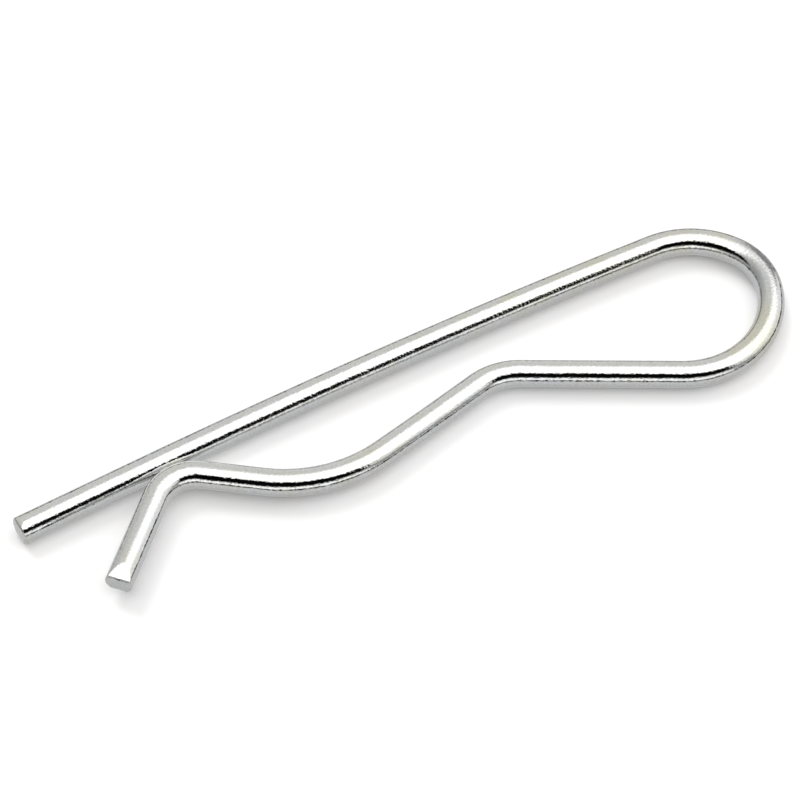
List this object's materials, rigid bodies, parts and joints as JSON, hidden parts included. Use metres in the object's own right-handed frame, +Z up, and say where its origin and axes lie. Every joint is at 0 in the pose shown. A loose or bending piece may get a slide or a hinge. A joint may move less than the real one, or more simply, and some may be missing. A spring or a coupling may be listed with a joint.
{
  "type": "hitch r clip pin",
  "caption": "Spring wire R clip with a straight leg, an open round loop and a bent leg that grips a cross-drilled shaft.",
  "frame": {"origin": "on the axis of the shaft that the clip grips, at the height of the table the clip lies on", "axes": "+X runs along the straight leg from its tip towards the loop, +Y away from the bent leg, +Z up from the table along the shaft's axis"},
  "size_m": [0.1181, 0.0305, 0.0054],
  "materials": {
    "zinc_plate": "bright zinc plate"
  },
  "bodies": {
    "root": {"r_clip": "zinc_plate"}
  },
  "joints": []
}
